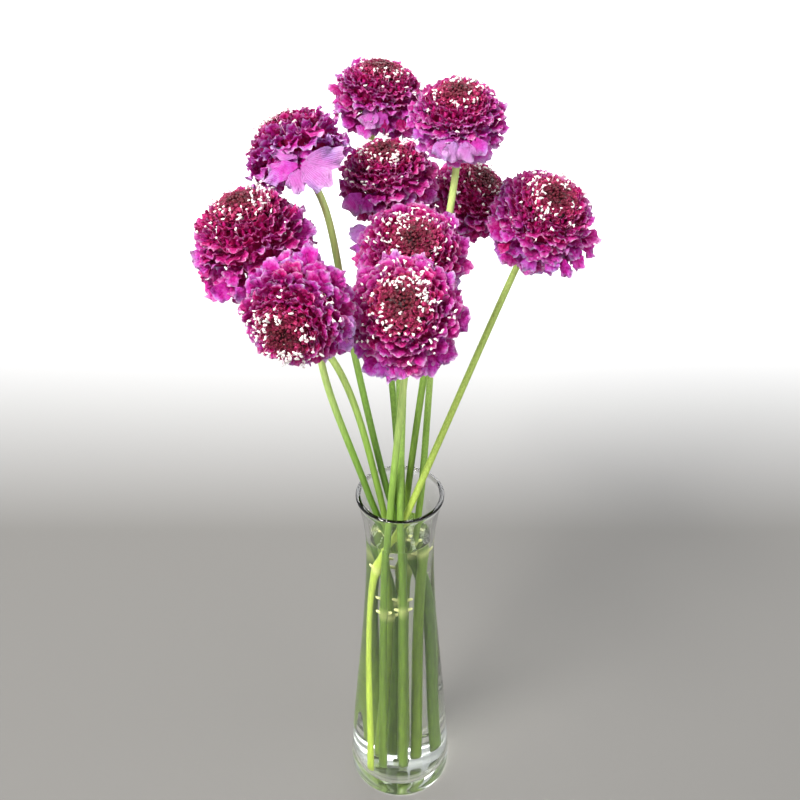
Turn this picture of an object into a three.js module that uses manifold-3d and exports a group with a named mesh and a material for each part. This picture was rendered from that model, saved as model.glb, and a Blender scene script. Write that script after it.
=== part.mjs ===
import * as THREE from 'three';
import { mergeVertices } from 'three/addons/utils/BufferGeometryUtils.js';
import Module from 'manifold-3d';

// Ten scabiosa flowers in a glass bud vase. Millimetres, +Z up, the origin in the middle of the
// vase's foot. The blooms face up and towards -Y.

const wasm = await Module();
wasm.setup();

// ---------------------------------------------------------------- driving dimensions

const seatGap = 0.3;

const vaseHeight = 200;
const wall = 2;
const floorHeight = 8;
const cornerHeight = 4;
const vaseSides = 24;
// The outside of the vase from the foot to the mouth, as [radius, height].
const vaseOutside = [
  [27.9, 3], [27.9, 10], [25.3, 47], [19.8, 106], [17.6, 135],
  [16.5, 160], [16.5, 176], [18.1, 189], [20, 197.5],
];
const footRadius = 26;

const waterLevel = 176;
const waterSides = 16;
const waterGap = 0.6;

const stemRadius = 1.6;
const stemSides = 6;
const stemSteps = 13;
const waistHeight = 150;
const stubLength = 2.6;
const stubRadius = 0.7;
const stemRoom = 0.6;
const footHeight = floorHeight + 2 * seatGap;

const bladeThickness = 0.9;
const bladeRoll = 0.3;
const coreSides = 6;
const budSides = 12;
const bractCount = 6;

// Parts of a bloom, as shares of its radius.
const coreRadius = 0.5;
const coreBottom = -0.14;
const coreTop = 0.5;
const budRadius = 0.46;
const budHeight = 0.32;
const budRows = 4;
const budHollow = 0.78;
const ruffle = 0.055;
const neckLength = 0.9;
const bractReach = 1.6;

// Rings of florets on a head, from the skirt up: how many, where they root and reach as
// [distance from the axis, height], their width, and the lobes on their outer edge.
const floretRings = [
  { count: 8, root: [0.37, 0], tip: [0.9, -0.38], width: 0.74, lobes: 3, waist: true },
  { count: 7, root: [0.37, 0.2], tip: [0.98, 0.06], width: 0.74, lobes: 2, waist: true },
  { count: 6, root: [0.38, 0.38], tip: [0.8, 0.52], width: 0.62, lobes: 2, waist: false },
];

// Each flower: the middle of its head, the way it faces, the radius of its head and how deep it is
// beside the usual one, where its stem stands on the floor of the vase, at its waist and in its
// mouth, as [x, y], and how far up the stem its cut leaf stubs are. A bend is one more point that
// the stem passes above the mouth.
const flowers = [
  { head: [-9.8, 92.6, 353.4], faces: [0.16, -0.15, 0.97], radius: 22.8, depth: 0.88,
    foot: [-4.5, 15.9], waist: [-5.4, 11.4], mouth: [-0.9, 11.4], stub: 0.4 },
  { head: [23, 40.8, 359.7], faces: [-0.03, -0.32, 0.95], radius: 21, depth: 0.85,
    foot: [0.2, 16.7], waist: [0.9, 10.5], mouth: [4.3, 9.2], bend: [15.9, 29, 288.9], stub: 0.4 },
  { head: [-41.4, 34.5, 348.4], faces: [-0.46, 0.36, 0.81], radius: 22, depth: 0.9,
    foot: [10, 6.6], waist: [5, 5.6], mouth: [-6.6, 5.2], bend: [-21.2, 24.2, 265.3], stub: 0.45 },
  { head: [-5.1, 53.1, 330.6], faces: [-0.09, -0.17, 0.98], radius: 22.5, depth: 0.83,
    foot: [0.8, 2.8], waist: [0.9, -4.7], mouth: [0.8, 2.6], stub: 0.39 },
  { head: [31.1, 69.8, 313.9], faces: [0.4, -0.37, 0.84], radius: 20.5, depth: 1,
    foot: [4.7, 3.8], waist: [6.4, 2.1], mouth: [10, 2.8], stub: 0.47 },
  { head: [60.2, 40, 316.8], faces: [0.19, -0.51, 0.84], radius: 24, depth: 1,
    foot: [-13.3, -11.4], waist: [-9.6, -2.5], mouth: [6.3, -4.4], stub: 0.44 },
  { head: [4.5, 18.7, 310], faces: [0.04, -0.65, 0.76], radius: 24, depth: 1,
    foot: [1.2, -3.8], waist: [1.2, -9.8], mouth: [0.1, -8.8], stub: 0.4 },
  { head: [-57.8, 7, 319.4], faces: [-0.15, -0.14, 0.98], radius: 25.5, depth: 1.12,
    foot: [-6, 4.2], waist: [-4.2, -0.5], mouth: [-10, 2.1], bend: [-28.7, 4.5, 269.8], stub: 0.36 },
  { head: [-35.9, -36.8, 316.4], faces: [-0.26, -0.96, -0.08], radius: 22, depth: 1,
    foot: [-1.8, 9], waist: [-3.7, 6.8], mouth: [-15.1, 1.2], bend: [-32.4, -5.4, 275], stub: 0.36 },
  { head: [1.9, -22.1, 305.1], faces: [-0.06, -0.71, 0.7], radius: 24.2, depth: 1.05,
    foot: [-6.4, -5.4], waist: [-6.7, -9.8], mouth: [-4.3, -9.7], stub: 0.41 },
];

// ---------------------------------------------------------------- colours

const clear = { transparent: true, opacity: 0.35 };
const glass = new THREE.MeshStandardMaterial({ color: '#d5dbd6', roughness: 0.05, ...clear });
const water = new THREE.MeshStandardMaterial({ color: '#c8d4cf', roughness: 0.05, ...clear });
const stemGreen = new THREE.MeshStandardMaterial({ color: '#6c9a2c', roughness: 0.55 });
const magenta = new THREE.MeshStandardMaterial({ color: '#a8218c', roughness: 0.7 });
const crimson = new THREE.MeshStandardMaterial({ color: '#6d0a2c', roughness: 0.7 });
for (const material of [glass, water, stemGreen, magenta, crimson]) {
  material.metalness = 0;
}

// ---------------------------------------------------------------- solids

function toSolid(geometry) {
  const bare = geometry.clone();
  bare.deleteAttribute('normal');
  bare.deleteAttribute('uv');
  const merged = mergeVertices(bare, 1e-4);
  return new wasm.Manifold(new wasm.Mesh({
    numProp: 3,
    vertProperties: new Float32Array(merged.attributes.position.array),
    triVerts: new Uint32Array(merged.index.array),
  }));
}

function toGeometry(solid) {
  const mesh = solid.getMesh();
  const geometry = new THREE.BufferGeometry();
  geometry.setAttribute('position', new THREE.BufferAttribute(mesh.vertProperties, 3));
  geometry.setIndex(new THREE.BufferAttribute(mesh.triVerts, 1));
  geometry.computeVertexNormals();
  return geometry;
}

function fuse(solids) {
  return solids.reduce((whole, piece) => whole.add(piece));
}

// A solid of revolution about Z from a profile of [radius, height] points.
function turned(profile, sides) {
  const points = profile.map(([radius, height]) => new THREE.Vector2(radius, height));
  return new THREE.LatheGeometry(points, sides).rotateX(Math.PI / 2);
}

// The same numbers each time, from a seed.
function seededRandom(seed) {
  let state = seed;
  return (low, high) => {
    state = (state * 16807) % 2147483647;
    return low + (high - low) * (state / 2147483647);
  };
}

// ---------------------------------------------------------------- vase and water

// Inside radius of the vase at a height, from the outside profile.
function insideRadius(height) {
  const above = vaseOutside.findIndex(([, z]) => z >= height);
  if (above <= 0) {
    return vaseOutside[0][0] - wall;
  }
  const [lowRadius, low] = vaseOutside[above - 1];
  const [highRadius, high] = vaseOutside[above];
  return THREE.MathUtils.mapLinear(height, low, high, lowRadius, highRadius) - wall;
}

function makeVase() {
  const lip = wall / 2;
  const [mouthRadius] = vaseOutside[vaseOutside.length - 1];
  const cornerTop = floorHeight + cornerHeight;
  const inside = vaseOutside.filter(([, height]) => height > cornerTop);
  const profile = [
    [0, 0], [footRadius, 0], ...vaseOutside,
    [mouthRadius + 0.3, vaseHeight - lip], [mouthRadius - lip, vaseHeight],
    ...inside.reverse().map(([radius, height]) => [radius - wall, height]),
    [insideRadius(cornerTop), cornerTop], [insideRadius(floorHeight) - cornerHeight, floorHeight],
    [0, floorHeight],
  ];
  return turned(profile, vaseSides);
}

// The water follows the inside of the glass, and the stems stand in plain holes in it.
function makeWater(stemSpaces) {
  const low = floorHeight + seatGap;
  const cornerTop = low + cornerHeight;
  const side = vaseOutside.filter(([, z]) => z > cornerTop && z < waterLevel).map(([, z]) => z);
  const body = turned([
    [0, low], [insideRadius(low) - waterGap - cornerHeight, low],
    ...[cornerTop, ...side, waterLevel].map((height) => [insideRadius(height) - waterGap, height]),
    [0, waterLevel],
  ], waterSides);
  const pieces = stemSpaces.reduce((rest, space) => rest.subtract(space), toSolid(body)).decompose();
  pieces.sort((a, b) => b.volume() - a.volume());
  return toGeometry(pieces[0]);
}

// ---------------------------------------------------------------- stems

function unit(values) {
  return new THREE.Vector3(...values).normalize();
}

// Where the stem meets the head, a little way behind its middle.
function stemTop(flower) {
  const back = flower.radius * coreBottom - seatGap;
  return new THREE.Vector3(...flower.head).addScaledVector(unit(flower.faces), back);
}

function stemCurve(flower, lowest) {
  const faces = unit(flower.faces);
  const top = stemTop(flower);
  const neck = flower.radius * neckLength;
  const [footX, footY] = flower.foot;
  const [waistX, waistY] = flower.waist;
  const [mouthX, mouthY] = flower.mouth;
  const bends = flower.bend ? [new THREE.Vector3(...flower.bend)] : [];
  return new THREE.CatmullRomCurve3([
    new THREE.Vector3(footX, footY, lowest),
    new THREE.Vector3(waistX, waistY, waistHeight),
    new THREE.Vector3(mouthX, mouthY, vaseHeight),
    ...bends,
    top.clone().addScaledVector(faces, -neck),
    top.clone().addScaledVector(faces, -1),
  ], false, 'centripetal');
}

function tube(curve, radius) {
  const section = new THREE.Shape();
  section.absarc(0, 0, radius, 0, Math.PI * 2);
  return new THREE.ExtrudeGeometry(section, {
    steps: stemSteps, curveSegments: stemSides / 2, extrudePath: curve, bevelEnabled: false,
  });
}

// A pair of cut leaf stubs, one on each side of the stem.
function stubs(curve, place, radius) {
  const point = curve.getPointAt(place);
  const reach = 2 * (stubLength + radius - stubRadius);
  const pair = new THREE.CylinderGeometry(radius, radius, reach, 3);
  pair.rotateZ(Math.PI / 2);
  pair.translate(point.x, point.y, point.z);
  return pair;
}

// The green cup under the head, whose rim runs out into pointed bracts.
function makeBracts(flower) {
  const r = flower.radius;
  const profile = [
    [0, -0.2 * r], [stemRadius + 0.4, -0.2 * r], [0.22 * r, -0.09 * r], [0.26 * r, -0.03 * r], [0, 0],
  ];
  const cup = turned(profile, 2 * bractCount);
  const place = cup.attributes.position;
  for (let i = 0; i < place.count; i += 1) {
    const rim = i % profile.length === 3;
    const spoke = Math.floor(i / profile.length) % (2 * bractCount);
    const reach = rim && spoke % 2 === 0 ? bractReach : 1;
    place.setXY(i, place.getX(i) * reach, place.getY(i) * reach);
  }
  const turnTo = new THREE.Quaternion().setFromUnitVectors(new THREE.Vector3(0, 0, 1), unit(flower.faces));
  return cup.applyQuaternion(turnTo).translate(...stemTop(flower).toArray());
}

function makeStem(flower) {
  const curve = stemCurve(flower, footHeight);
  return toGeometry(fuse([
    toSolid(tube(curve, stemRadius)),
    toSolid(makeBracts(flower)),
    toSolid(stubs(curve, flower.stub, stubRadius)),
  ]));
}

// The room that a stem takes up in the water. It runs on down through the water's underside.
function makeStemSpace(flower) {
  return fuse([
    toSolid(tube(stemCurve(flower, floorHeight - stemRadius), stemRadius + stemRoom)),
    toSolid(stubs(stemCurve(flower, footHeight), flower.stub, stubRadius + stemRoom)),
  ]);
}

// ---------------------------------------------------------------- blooms

// One floret: a thin blade that widens from its root to a lobed, ruffled edge. It lies along +X,
// and both faces are split into the same triangles.
function makeBlade(length, width, lobes, wave, waist) {
  const rows = [[[0, 0, 0]]];
  if (waist) {
    rows.push([-1, 0, 1].map((side) => [0.6 * length, 0.38 * width * side, 0.5 * wave]));
  }
  const edge = [];
  for (let i = 0; i <= 2 * lobes; i += 1) {
    const across = i / lobes - 1;
    const peak = i % 2 === 1;
    const reach = (peak ? 1 : 0.84) - 0.12 * across * across;
    edge.push([reach * length, 0.5 * width * across, peak ? wave : -wave]);
  }
  rows.push(edge);

  const points = rows.flat();
  const count = points.length;
  const starts = rows.map((row, i) => rows.slice(0, i).reduce((sum, done) => sum + done.length, 0));
  const face = [];
  for (let r = 0; r + 1 < rows.length; r += 1) {
    let i = 0;
    let j = 0;
    const near = rows[r].length - 1;
    const far = rows[r + 1].length - 1;
    while (i < near || j < far) {
      const nearFirst = j === far || (i < near && (i + 0.5) / near < (j + 0.5) / far);
      const a = starts[r] + i;
      const b = starts[r + 1] + j;
      face.push(nearFirst ? [a, b, a + 1] : [a, b, b + 1]);
      i += nearFirst ? 1 : 0;
      j += nearFirst ? 0 : 1;
    }
  }
  const last = rows.length - 1;
  const outline = [];
  rows.forEach((row, r) => outline.push(starts[r]));
  for (let i = 1; i < rows[last].length; i += 1) {
    outline.push(starts[last] + i);
  }
  for (let r = last - 1; r >= 1; r -= 1) {
    outline.push(starts[r] + rows[r].length - 1);
  }

  const vertices = [];
  for (const lift of [bladeThickness / 2, -bladeThickness / 2]) {
    points.forEach(([x, y, z]) => vertices.push(x, y, z + lift));
  }
  const triangles = [];
  for (const [a, b, c] of face) {
    triangles.push(a, b, c, a + count, c + count, b + count);
  }
  outline.forEach((from, i) => {
    const to = outline[(i + 1) % outline.length];
    triangles.push(from, from + count, to, to, from + count, to + count);
  });
  const geometry = new THREE.BufferGeometry();
  geometry.setAttribute('position', new THREE.Float32BufferAttribute(vertices, 3));
  geometry.setIndex(triangles);
  return geometry;
}

function makeCore(r, depth) {
  const [low, high] = [coreBottom * r, coreTop * r * depth];
  return turned([[0, low], [coreRadius * r, low], [coreRadius * r, high], [0, high]], coreSides);
}

function makeFlorets(flower, seed) {
  const { radius: r, depth } = flower;
  const random = seededRandom(seed);
  const solids = [toSolid(makeCore(r, depth))];
  floretRings.forEach((ring, level) => {
    const start = random(0, Math.PI * 2);
    for (let i = 0; i < ring.count; i += 1) {
      const [rootOut, rootUp] = [ring.root[0], ring.root[1] * depth];
      const [tipOut, tipUp] = [ring.tip[0], ring.tip[1] * depth];
      const droop = Math.atan2(tipUp - rootUp, tipOut - rootOut) + random(-0.08, 0.08);
      const length = Math.hypot(tipUp - rootUp, tipOut - rootOut) * random(0.93, 1.02) * r;
      const blade = makeBlade(length, ring.width * r, ring.lobes, ruffle * r, ring.waist);
      blade.rotateX(bladeRoll + random(-0.05, 0.05));
      blade.rotateY(-droop);
      blade.translate(rootOut * r, 0, rootUp * r);
      blade.rotateZ(start + (i + random(-0.08, 0.08)) * (Math.PI * 2 / ring.count) + level);
      solids.push(toSolid(blade));
    }
  });
  return toGeometry(fuse(solids));
}

// The unopened buds: a dome whose surface stands up in rows of knobs. Each square of the dome is
// split between its low corners, so that every high one is a peak.
function makeBuds(flower) {
  const { radius: r, depth } = flower;
  const base = coreTop * r * depth + seatGap;
  const tall = budHeight * r * depth;
  const isPeak = (row, spoke) => (row + spoke) % 2 === 0;
  const at = (row, spoke) => 2 + row * budSides + spoke % budSides;
  const vertices = [0, 0, base, 0, 0, base + tall];
  for (let row = 0; row < budRows; row += 1) {
    const rise = (row / budRows) * Math.PI / 2;
    for (let spoke = 0; spoke < budSides; spoke += 1) {
      const turn = (spoke / budSides) * Math.PI * 2;
      const stand = isPeak(row, spoke) ? 1 : budHollow;
      const out = budRadius * r * Math.cos(rise) * stand;
      const up = base + tall * Math.sin(rise) * stand;
      vertices.push(out * Math.cos(turn), out * Math.sin(turn), up);
    }
  }
  const triangles = [];
  for (let spoke = 0; spoke < budSides; spoke += 1) {
    triangles.push(0, at(0, spoke + 1), at(0, spoke));
    triangles.push(1, at(budRows - 1, spoke), at(budRows - 1, spoke + 1));
    for (let row = 0; row + 1 < budRows; row += 1) {
      const [a, b] = [at(row, spoke), at(row, spoke + 1)];
      const [c, d] = [at(row + 1, spoke + 1), at(row + 1, spoke)];
      triangles.push(...(isPeak(row, spoke) ? [a, b, d, b, c, d] : [a, b, c, a, c, d]));
    }
  }
  const geometry = new THREE.BufferGeometry();
  geometry.setAttribute('position', new THREE.Float32BufferAttribute(vertices, 3));
  geometry.setIndex(triangles);
  geometry.computeVertexNormals();
  return geometry;
}

// ---------------------------------------------------------------- the whole

function named(name, geometry, material) {
  const mesh = new THREE.Mesh(geometry, material);
  mesh.name = name;
  return mesh;
}

const group = new THREE.Group();
group.add(named('vase', makeVase(), glass));
group.add(named('water', makeWater(flowers.map(makeStemSpace)), water));
flowers.forEach((flower, i) => {
  const number = String(i + 1).padStart(2, '0');
  group.add(named(`stem_${number}`, makeStem(flower), stemGreen));
  const bloom = new THREE.Group();
  bloom.position.set(...flower.head);
  bloom.quaternion.setFromUnitVectors(new THREE.Vector3(0, 0, 1), unit(flower.faces));
  bloom.add(named(`florets_${number}`, makeFlorets(flower, 101 + 37 * i), magenta));
  bloom.add(named(`buds_${number}`, makeBuds(flower), crimson));
  group.add(bloom);
});

export default group;
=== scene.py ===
"""Ten scabiosa flowers in a clear glass bud vase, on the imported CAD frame.

Lengths in this file are millimetres, like the frame's source, and become metres in each mesh.
"""
import math

import bpy
import numpy as np
from mathutils import Euler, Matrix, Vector


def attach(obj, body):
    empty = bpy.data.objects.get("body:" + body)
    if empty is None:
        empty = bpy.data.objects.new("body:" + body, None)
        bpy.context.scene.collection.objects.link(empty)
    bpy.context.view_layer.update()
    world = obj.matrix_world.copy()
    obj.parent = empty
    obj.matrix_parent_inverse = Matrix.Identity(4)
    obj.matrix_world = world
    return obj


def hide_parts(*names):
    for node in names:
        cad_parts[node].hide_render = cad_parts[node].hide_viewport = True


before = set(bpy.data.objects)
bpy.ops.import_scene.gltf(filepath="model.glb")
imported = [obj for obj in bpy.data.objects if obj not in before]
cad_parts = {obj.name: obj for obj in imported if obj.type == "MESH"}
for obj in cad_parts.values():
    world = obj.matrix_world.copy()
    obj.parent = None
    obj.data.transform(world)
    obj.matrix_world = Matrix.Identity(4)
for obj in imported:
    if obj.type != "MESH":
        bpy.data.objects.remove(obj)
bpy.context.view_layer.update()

MM = 0.001
BODY = "root"
UP = np.array([0.0, 0.0, 1.0])
GOLDEN_ANGLE = 2.399963

# -------------------------------- sizes shared with the frame

VASE_HEIGHT = 200.0
WALL = 2.0
FLOOR_HEIGHT = 8.0
FOOT_RADIUS = 26.0
VASE_OUTSIDE = [
    (27.9, 3.0), (27.9, 10.0), (25.3, 47.0), (19.8, 106.0), (17.6, 135.0),
    (16.5, 160.0), (16.5, 176.0), (18.1, 189.0), (20.0, 197.5),
]
WATER_LEVEL = 176.0
STEM_RADIUS = 1.6
STUB_LENGTH = 2.6
WAIST_HEIGHT = 150.0
FOOT_HEIGHT = 8.6
SEAT_GAP = 0.3

# Parts of a bloom, as shares of its radius.
CORE_BOTTOM = -0.14
CORE_TOP = 0.5
BUD_RADIUS = 0.46
BUD_HEIGHT = 0.32
NECK_LENGTH = 0.9

# Each flower as in the frame: the middle of its head, the way it faces, the radius of its head and
# how deep it is beside the usual one, where its stem stands on the floor of the vase, at its waist
# and in its mouth, a point above the mouth that a bent stem passes, and how far up the stem its cut
# leaf stubs are. Its looks are how pale its skirt is, how dark it is, and how many anthers it has.
FLOWERS = [
    dict(head=(-9.8, 92.6, 353.4), faces=(0.16, -0.15, 0.97), radius=22.8, depth=0.88,
         foot=(-4.5, 15.9), waist=(-5.4, 11.4), mouth=(-0.9, 11.4), stub=0.4,
         pale=0.6, dark=0.15, anthers=49),
    dict(head=(23, 40.8, 359.7), faces=(-0.03, -0.32, 0.95), radius=21, depth=0.85,
         foot=(0.2, 16.7), waist=(0.9, 10.5), mouth=(4.3, 9.2), bend=(15.9, 29, 288.9), stub=0.4,
         pale=0.9, dark=0.0, anthers=66),
    dict(head=(-41.4, 34.5, 348.4), faces=(-0.46, 0.36, 0.81), radius=22, depth=0.9,
         foot=(10, 6.6), waist=(5, 5.6), mouth=(-6.6, 5.2), bend=(-21.2, 24.2, 265.3), stub=0.45,
         pale=1.0, dark=0.0, anthers=58),
    dict(head=(-5.1, 53.1, 330.6), faces=(-0.09, -0.17, 0.98), radius=22.5, depth=0.83,
         foot=(0.8, 2.8), waist=(0.9, -4.7), mouth=(0.8, 2.6), stub=0.39,
         pale=0.35, dark=0.3, anthers=89),
    dict(head=(31.1, 69.8, 313.9), faces=(0.4, -0.37, 0.84), radius=20.5, depth=1,
         foot=(4.7, 3.8), waist=(6.4, 2.1), mouth=(10, 2.8), stub=0.47,
         pale=0.15, dark=0.55, anthers=69),
    dict(head=(60.2, 40, 316.8), faces=(0.19, -0.51, 0.84), radius=24, depth=1,
         foot=(-13.3, -11.4), waist=(-9.6, -2.5), mouth=(6.3, -4.4), stub=0.44,
         pale=0.5, dark=0.1, anthers=92),
    dict(head=(4.5, 18.7, 310), faces=(0.04, -0.65, 0.76), radius=24, depth=1,
         foot=(1.2, -3.8), waist=(1.2, -9.8), mouth=(0.1, -8.8), stub=0.4,
         pale=0.4, dark=0.5, anthers=95),
    dict(head=(-57.8, 7, 319.4), faces=(-0.15, -0.14, 0.98), radius=25.5, depth=1.12,
         foot=(-6, 4.2), waist=(-4.2, -0.5), mouth=(-10, 2.1), bend=(-28.7, 4.5, 269.8), stub=0.36,
         pale=0.35, dark=0.45, anthers=81),
    dict(head=(-35.9, -36.8, 316.4), faces=(-0.26, -0.96, -0.08), radius=22, depth=1,
         foot=(-1.8, 9), waist=(-3.7, 6.8), mouth=(-15.1, 1.2), bend=(-32.4, -5.4, 275), stub=0.36,
         pale=0.5, dark=0.05, anthers=107),
    dict(head=(1.9, -22.1, 305.1), faces=(-0.06, -0.71, 0.7), radius=24.2, depth=1.05,
         foot=(-6.4, -5.4), waist=(-6.7, -9.8), mouth=(-4.3, -9.7), stub=0.41,
         pale=0.45, dark=0.05, anthers=121),
]
LIME_FLOWER = 6

# The camera stands where the photo was taken from, tilted down. A focal length of 900 pixels
# in the photo's 800 gives the lens for this sensor.
CAMERA_PLACE = (0.0, -320.4, 470.6)
CAMERA_TILT = 34.30
SENSOR = 36.0
LENS = SENSOR * 900 / 800
# Its directions to the right, up and towards the camera.
RIGHT, RISE, TOWARDS = np.array([(1, 0, 0), (0, 0.5635, 0.8261), (0, -0.8261, 0.5635)])

# Large petals that hang out on the viewed side of a head. Each is (right, up, towards) from the
# head's middle, its angle (0 right, 90 up), length, width, and how pale it is.
SHOWY = {
    1: [(-1.1, -9.0, 16.5, -124, 9.9, 9.5, 1.4), (3.6, -10.7, 16, -118, 7.4, 7.5, 1.3),
        (4.0, -12.8, 15, -99, 7.9, 5, 0.4), (9.7, -12.8, 13, -77, 5.8, 7, 0.3)],
    2: [(-5.2, -12.0, 14, -119, 7.9, 8, 1.45), (-1.8, -12.7, 15, -101, 7.8, 8.5, 1.55),
        (2.0, -12.6, 15, -82, 8.1, 8, 1.5), (6.0, -10.9, 14, -69, 7.4, 7, 1.25)],
    3: [(3.8, -9.5, 18.5, 11, 18.2, 10, 1.5), (4.3, -9.7, 19, -46, 13.1, 11.5, 1.5),
        (3.3, -10.9, 18.5, -108, 9.9, 8, 1.45), (2.4, -9.1, 18, -162, 14.4, 8.5, 1.3),
        (2.2, -6.3, 17.5, 158, 12.4, 6.5, 1.45)],
    4: [(-11.3, -8.6, 13, -122, 10.2, 9.5, 1.3), (-7.7, -9.6, 14.5, -101, 8, 8, 1.1)],
    6: [(5.5, -16.2, 10, -65, 10.7, 6, 0.9), (1.8, -16.2, 10.5, -74, 7.2, 6.5, 1.1),
        (12.6, -14.4, 7.5, -60, 8.1, 6, 0.9), (14.7, -9.0, 5.5, -36, 10.5, 6, 0.8),
        (-5.5, -15.4, 11, -99, 8.2, 7, 1.2), (-14, -10.2, 10.5, -144, 7.1, 5, 0.2)],
    7: [(-15.5, 8.4, 2, 166, 10.6, 8, 1.4), (-15.2, 5.4, 3, -155, 10.4, 8, 1.25)],
    8: [(1.5, -15.8, 16, -121, 8.8, 8, 1.1), (-8.0, -15.8, 15, -125, 7.3, 8, 1.0),
        (13.0, 9.5, 6.5, 28, 8.5, 9, 0.85), (15.5, 5.5, 4.5, 8, 9.5, 9.5, 0.95),
        (15.0, 0.5, 7, -8, 9.5, 9, 0.9), (12.5, -4.5, 9, -24, 9, 8.5, 1.0)],
    9: [(-13.7, -2.7, -3, -146, 7.1, 3.5, 0.8), (12.9, -4.8, 4.5, -23, 8.2, 8.5, 1.4),
        (13.6, -8.9, 1.5, -41, 7.4, 7, 1.3)],
    10: [(-10.8, -15.2, 5.5, -111, 8.1, 7, 1.0), (-7.4, -15.5, 6, -102, 8.4, 7, 1.2),
         (-3.8, -16.2, 6.5, -103, 9.6, 6, 1.0), (-0.2, -16.2, 6.5, -95, 7.6, 8, 1.15),
         (4.3, -16.2, 7, -85, 7.6, 8, 1.25), (8.7, -15.2, 6.5, -79, 7.7, 7, 1.1),
         (12.4, -13.3, 6.5, -47, 5.9, 6.5, 1.0)],
}

# -------------------------------- meshes


class Build:
    """Gathers closed shells, with a vector for each point that the materials read."""

    def __init__(self):
        self.points, self.faces, self.marks, self.rims, self.count = [], [], [], [], 0

    def add(self, points, faces, marks, caps=None, rim=None):
        """points (n, 3); faces (m, 3 or 4) and caps (k, 3) of them; marks (n, 3), or one for all;
        rim (n) is true on a sheet's thin edge."""
        points = np.asarray(points, float)
        n = len(points)
        self.points.append(points)
        self.marks.append(np.broadcast_to(np.asarray(marks, float), (n, 3)))
        self.rims.append(np.zeros(n, bool) if rim is None else rim)
        for group in (faces, caps):
            if group is not None:
                self.faces.append(group + self.count)
        self.count += n

    def object(self, name, turn=None, move=None):
        points = np.concatenate(self.points)
        if turn is not None:
            points = points @ turn.T
        if move is not None:
            points = points + np.asarray(move)
        sizes = np.concatenate([np.full(len(f), f.shape[1]) for f in self.faces])
        starts = np.concatenate([[0], np.cumsum(sizes)[:-1]])
        corners = np.concatenate([f.ravel() for f in self.faces])
        mesh = bpy.data.meshes.new(name)
        mesh.vertices.add(len(points))
        mesh.vertices.foreach_set("co", (points * MM).astype(np.float32).ravel())
        mesh.loops.add(len(corners))
        mesh.loops.foreach_set("vertex_index", corners.astype(np.int32))
        mesh.polygons.add(len(sizes))
        mesh.polygons.foreach_set("loop_start", starts.astype(np.int32))
        mesh.polygons.foreach_set("loop_total", sizes.astype(np.int32))
        mesh.polygons.foreach_set("use_smooth", np.ones(len(sizes), bool))
        mark = mesh.attributes.new("mark", "FLOAT_VECTOR", "POINT")
        mark.data.foreach_set("vector", np.concatenate(self.marks).astype(np.float32).ravel())
        mesh.update(calc_edges=True)
        rims = np.concatenate(self.rims)
        if rims.any():
            # Both sides of a petal keep their own shading up to its edge.
            ends = np.empty(2 * len(mesh.edges), np.int32)
            mesh.edges.foreach_get("vertices", ends)
            sharp = mesh.attributes.new("sharp_edge", "BOOLEAN", "EDGE")
            sharp.data.foreach_set("value", rims[ends].reshape(-1, 2).all(axis=1))
        mesh.validate()
        obj = bpy.data.objects.new(name, mesh)
        bpy.context.scene.collection.objects.link(obj)
        return obj


def grid_faces(rows, columns, wrap=False):
    """Quads of a grid of points whose columns run fastest."""
    r = np.arange(rows - 1)[:, None]
    c = np.arange(columns if wrap else columns - 1)[None, :]
    n = (c + 1) % columns
    quads = [r * columns + c, r * columns + n, (r + 1) * columns + n, (r + 1) * columns + c]
    return np.stack(quads, -1).reshape(-1, 4)


def sheet_faces(rows, columns):
    """Quads of a thin closed sheet: the upper grid, then the lower one, which shares its border."""
    top = grid_faces(rows, columns)
    below = np.arange(rows * columns).reshape(rows, columns)
    inside = (rows - 2) * (columns - 2)
    below[1:-1, 1:-1] = rows * columns + np.arange(inside).reshape(rows - 2, columns - 2)
    return np.concatenate([top, below.ravel()[top[:, ::-1]]])


def sheet_rim(rows, columns):
    """True for the points of such a sheet that lie on its border."""
    border = np.ones((rows, columns), bool)
    border[1:-1, 1:-1] = False
    return np.concatenate([border.ravel(), np.zeros((rows - 2) * (columns - 2), bool)])


def end_caps(low, high, last_row, sides):
    """Triangles from the end points low and high to the first and the last row of a round grid."""
    s = np.arange(sides)
    n = (s + 1) % sides
    return np.concatenate([
        np.stack([np.full(sides, low), n, s], -1),
        np.stack([np.full(sides, high), last_row + s, last_row + n], -1),
    ])


def unit(v):
    v = np.asarray(v, float)
    return v / np.linalg.norm(v, axis=-1, keepdims=True)


def hump(x, middle, width):
    """A smooth hump of height 1 over the middle."""
    return np.exp(-((x - middle) / width) ** 2)


def polar(azimuth):
    """The level direction at an angle about +Z."""
    return np.stack([np.cos(azimuth), np.sin(azimuth), np.zeros_like(azimuth)], -1)


def turn_to(direction):
    """The matrix that turns +Z to a direction by the shortest way, as the frame's blooms are."""
    turn = Vector((0, 0, 1)).rotation_difference(Vector(direction).normalized())
    return np.array(turn.to_matrix())


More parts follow.
